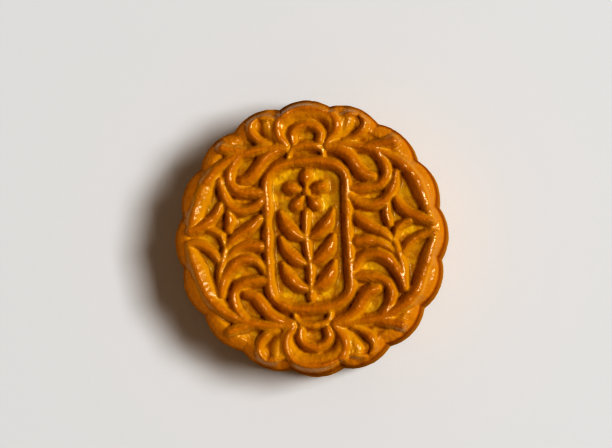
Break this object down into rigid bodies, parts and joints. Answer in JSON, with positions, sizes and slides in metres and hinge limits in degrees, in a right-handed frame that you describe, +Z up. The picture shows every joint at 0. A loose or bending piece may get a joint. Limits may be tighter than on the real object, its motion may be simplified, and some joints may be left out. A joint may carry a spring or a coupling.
{
  "type": "mooncake",
  "caption": "Round baked mooncake with a lobed side, a flat base, and a deep moulded relief of ridges, sprays and a framed sprig on its glossy top.",
  "frame": {"origin": "centre of the flat base, at the bottom of the cake", "axes": "+Z up through the moulded top; +Y towards the upright top of the pattern, along the long sides of the framed plaque"},
  "size_m": [0.0754, 0.0766, 0.03],
  "materials": {
    "baked_crust": "baked wheat-syrup crust brushed with egg: glossy orange-brown on the ridges, golden in the valleys, red-brown at the rim"
  },
  "bodies": {
    "root": {"mooncake": "baked_crust"}
  },
  "joints": []
}
